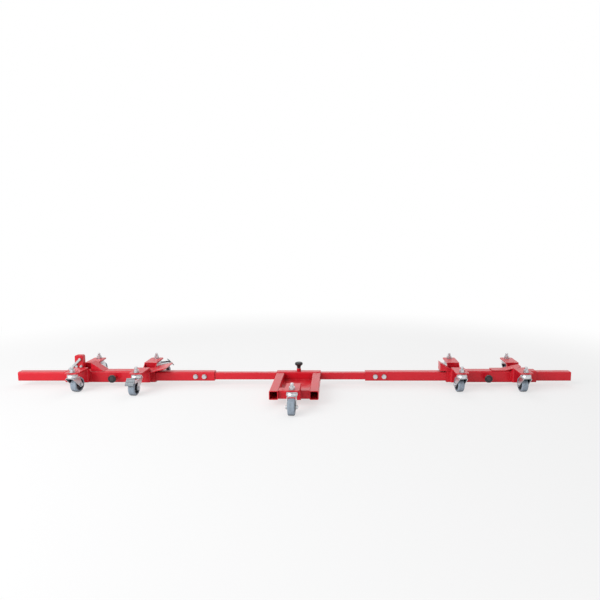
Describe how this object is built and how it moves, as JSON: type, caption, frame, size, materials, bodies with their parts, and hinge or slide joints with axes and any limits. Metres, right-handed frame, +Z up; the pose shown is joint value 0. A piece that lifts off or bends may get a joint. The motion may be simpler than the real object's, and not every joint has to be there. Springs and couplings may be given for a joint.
{
  "type": "motorcycle mover dolly",
  "caption": "Low red steel rail dolly with sliding wheel carriages, a sliding kickstand platform and swivel casters.",
  "frame": {"origin": "bottom centre of the bounding box, on the floor", "axes": "+X along the beam towards the rear carriage, +Y away from the kickstand platform, +Z up"},
  "size_m": [2.416, 0.636, 0.135],
  "materials": {
    "red_paint": "glossy powder coat",
    "zinc": "bright zinc plate",
    "tread": "grey non-marking tread",
    "hub": "moulded hub",
    "knob": "moulded grip"
  },
  "bodies": {
    "beam": {"centre_tube": "red_paint", "front_rail": "red_paint", "rear_rail": "red_paint", "rail_bolts": "zinc"},
    "front_carriage": {"front_sleeve": "red_paint", "front_caster_brackets": "red_paint", "front_caster_stems": "zinc", "front_wheel_chocks": "red_paint", "front_clamp_boss": "red_paint", "front_wheel_stop": "red_paint", "front_stop_lug": "red_paint", "front_stop_bolts": "zinc", "front_stop_struts": "zinc"},
    "rear_carriage": {"rear_sleeve": "red_paint", "rear_caster_brackets": "red_paint", "rear_caster_stems": "zinc", "rear_wheel_chocks": "red_paint", "rear_clamp_boss": "red_paint"},
    "platform": {"platform_sleeve": "red_paint", "platform_side_tubes": "red_paint", "platform_front_angle": "red_paint", "kickstand_plate": "red_paint", "platform_caster_bracket": "red_paint", "platform_caster_stem": "zinc", "platform_clamp_boss": "red_paint"},
    "front_clamp": {"front_clamp_screw": "zinc", "front_clamp_knob": "knob"},
    "rear_clamp": {"rear_clamp_screw": "zinc", "rear_clamp_knob": "knob"},
    "platform_clamp": {"platform_clamp_screw": "zinc", "platform_clamp_knob": "knob"},
    "front_outer_near_caster": {"front_outer_near_fork": "zinc"},
    "front_outer_near_wheel": {"front_outer_near_wheel_hub": "hub", "front_outer_near_tyre": "tread"},
    "front_inner_near_caster": {"front_inner_near_fork": "zinc"},
    "front_inner_near_wheel": {"front_inner_near_wheel_hub": "hub", "front_inner_near_tyre": "tread"},
    "front_inner_near_brake": {"front_inner_near_brake_pedal": "zinc"},
    "front_outer_far_caster": {"front_outer_far_fork": "zinc"},
    "front_outer_far_wheel": {"front_outer_far_wheel_hub": "hub", "front_outer_far_tyre": "tread"},
    "front_inner_far_caster": {"front_inner_far_fork": "zinc"},
    "front_inner_far_wheel": {"front_inner_far_wheel_hub": "hub", "front_inner_far_tyre": "tread"},
    "front_inner_far_brake": {"front_inner_far_brake_pedal": "zinc"},
    "rear_inner_near_caster": {"rear_inner_near_fork": "zinc"},
    "rear_inner_near_wheel": {"rear_inner_near_wheel_hub": "hub", "rear_inner_near_tyre": "tread"},
    "rear_outer_near_caster": {"rear_outer_near_fork": "zinc"},
    "rear_outer_near_wheel": {"rear_outer_near_wheel_hub": "hub", "rear_outer_near_tyre": "tread"},
    "rear_inner_far_caster": {"rear_inner_far_fork": "zinc"},
    "rear_inner_far_wheel": {"rear_inner_far_wheel_hub": "hub", "rear_inner_far_tyre": "tread"},
    "rear_outer_far_caster": {"rear_outer_far_fork": "zinc"},
    "rear_outer_far_wheel": {"rear_outer_far_wheel_hub": "hub", "rear_outer_far_tyre": "tread"},
    "centre_caster": {"centre_fork": "zinc"},
    "centre_wheel": {"centre_wheel_hub": "hub", "centre_tyre": "tread"}
  },
  "joints": [
    {"name": "front_carriage_slide", "type": "slide", "parent": "beam", "child": "front_carriage", "axis": [1, 0, 0], "range_m": [-0.2, 0.15]},
    {"name": "rear_carriage_slide", "type": "slide", "parent": "beam", "child": "rear_carriage", "axis": [1, 0, 0], "range_m": [-0.255, 0.145]},
    {"name": "platform_slide", "type": "slide", "parent": "beam", "child": "platform", "axis": [1, 0, 0], "range_m": [-0.26, 0.18]},
    {"name": "front_clamp_turn", "type": "hinge", "parent": "front_carriage", "child": "front_clamp", "pos_m": [-0.782, 0.1015, 0.042], "axis": [0, -1, 0], "continuous": true},
    {"name": "rear_clamp_turn", "type": "hinge", "parent": "rear_carriage", "child": "rear_clamp", "pos_m": [0.838, 0.1015, 0.042], "axis": [0, -1, 0], "continuous": true},
    {"name": "platform_clamp_turn", "type": "hinge", "parent": "platform", "child": "platform_clamp", "pos_m": [0.01799, 0.1265, 0.062], "axis": [0, 0, 1], "continuous": true},
    {"name": "front_outer_near_swivel", "type": "hinge", "parent": "front_carriage", "child": "front_outer_near_caster", "pos_m": [-0.915, -0.0055, 0.084], "axis": [0, 0, 1], "continuous": true},
    {"name": "front_outer_near_roll", "type": "hinge", "parent": "front_outer_near_caster", "child": "front_outer_near_wheel", "pos_m": [-0.91014, 0.02208, 0.0315], "axis": [-0.9848, 0.1736, 0], "continuous": true},
    {"name": "front_inner_near_swivel", "type": "hinge", "parent": "front_carriage", "child": "front_inner_near_caster", "pos_m": [-0.649, -0.0055, 0.084], "axis": [0, 0, 1], "continuous": true},
    {"name": "front_inner_near_roll", "type": "hinge", "parent": "front_inner_near_caster", "child": "front_inner_near_wheel", "pos_m": [-0.65095, -0.03343, 0.0315], "axis": [0.9976, -0.0698, 0], "continuous": true},
    {"name": "front_inner_near_brake_tip", "type": "hinge", "parent": "front_inner_near_caster", "child": "front_inner_near_brake", "pos_m": [-0.65275, -0.05908, 0.06214], "axis": [0.9976, -0.0698, 0], "range_deg": [0, 10]},
    {"name": "front_outer_far_swivel", "type": "hinge", "parent": "front_carriage", "child": "front_outer_far_caster", "pos_m": [-0.915, 0.2585, 0.084], "axis": [0, 0, 1], "continuous": true},
    {"name": "front_outer_far_roll", "type": "hinge", "parent": "front_outer_far_caster", "child": "front_outer_far_wheel", "pos_m": [-0.915, 0.2865, 0.0315], "axis": [-1, 0, 0], "continuous": true},
    {"name": "front_inner_far_swivel", "type": "hinge", "parent": "front_carriage", "child": "front_inner_far_caster", "pos_m": [-0.649, 0.2585, 0.084], "axis": [0, 0, 1], "continuous": true},
    {"name": "front_inner_far_roll", "type": "hinge", "parent": "front_inner_far_caster", "child": "front_inner_far_wheel", "pos_m": [-0.62475, 0.2725, 0.0315], "axis": [-0.5, 0.866, 0], "continuous": true},
    {"name": "front_inner_far_brake_tip", "type": "hinge", "parent": "front_inner_far_caster", "child": "front_inner_far_brake", "pos_m": [-0.60248, 0.28536, 0.06214], "axis": [-0.5, 0.866, 0], "range_deg": [0, 10]},
    {"name": "rear_inner_near_swivel", "type": "hinge", "parent": "rear_carriage", "child": "rear_inner_near_caster", "pos_m": [0.705, -0.0055, 0.084], "axis": [0, 0, 1], "continuous": true},
    {"name": "rear_inner_near_roll", "type": "hinge", "parent": "rear_inner_near_caster", "child": "rear_inner_near_wheel", "pos_m": [0.70159, 0.02229, 0.0315], "axis": [-0.9925, -0.1219, 0], "continuous": true},
    {"name": "rear_outer_near_swivel", "type": "hinge", "parent": "rear_carriage", "child": "rear_outer_near_caster", "pos_m": [0.971, -0.0055, 0.084], "axis": [0, 0, 1], "continuous": true},
    {"name": "rear_outer_near_roll", "type": "hinge", "parent": "rear_outer_near_caster", "child": "rear_outer_near_wheel", "pos_m": [0.96954, 0.02246, 0.0315], "axis": [-0.9986, -0.0523, 0], "continuous": true},
    {"name": "rear_inner_far_swivel", "type": "hinge", "parent": "rear_carriage", "child": "rear_inner_far_caster", "pos_m": [0.705, 0.2585, 0.084], "axis": [0, 0, 1], "continuous": true},
    {"name": "rear_inner_far_roll", "type": "hinge", "parent": "rear_inner_far_caster", "child": "rear_inner_far_wheel", "pos_m": [0.691, 0.28275, 0.0315], "axis": [-0.866, -0.5, 0], "continuous": true},
    {"name": "rear_outer_far_swivel", "type": "hinge", "parent": "rear_carriage", "child": "rear_outer_far_caster", "pos_m": [0.971, 0.2585, 0.084], "axis": [0, 0, 1], "continuous": true},
    {"name": "rear_outer_far_roll", "type": "hinge", "parent": "rear_outer_far_caster", "child": "rear_outer_far_wheel", "pos_m": [0.985, 0.28275, 0.0315], "axis": [-0.866, 0.5, 0], "continuous": true},
    {"name": "centre_swivel", "type": "hinge", "parent": "platform", "child": "centre_caster", "pos_m": [0.01799, -0.2585, 0.084], "axis": [0, 0, 1], "continuous": true},
    {"name": "centre_roll", "type": "hinge", "parent": "centre_caster", "child": "centre_wheel", "pos_m": [0.01799, -0.2865, 0.0315], "axis": [1, 0, 0], "continuous": true}
  ]
}
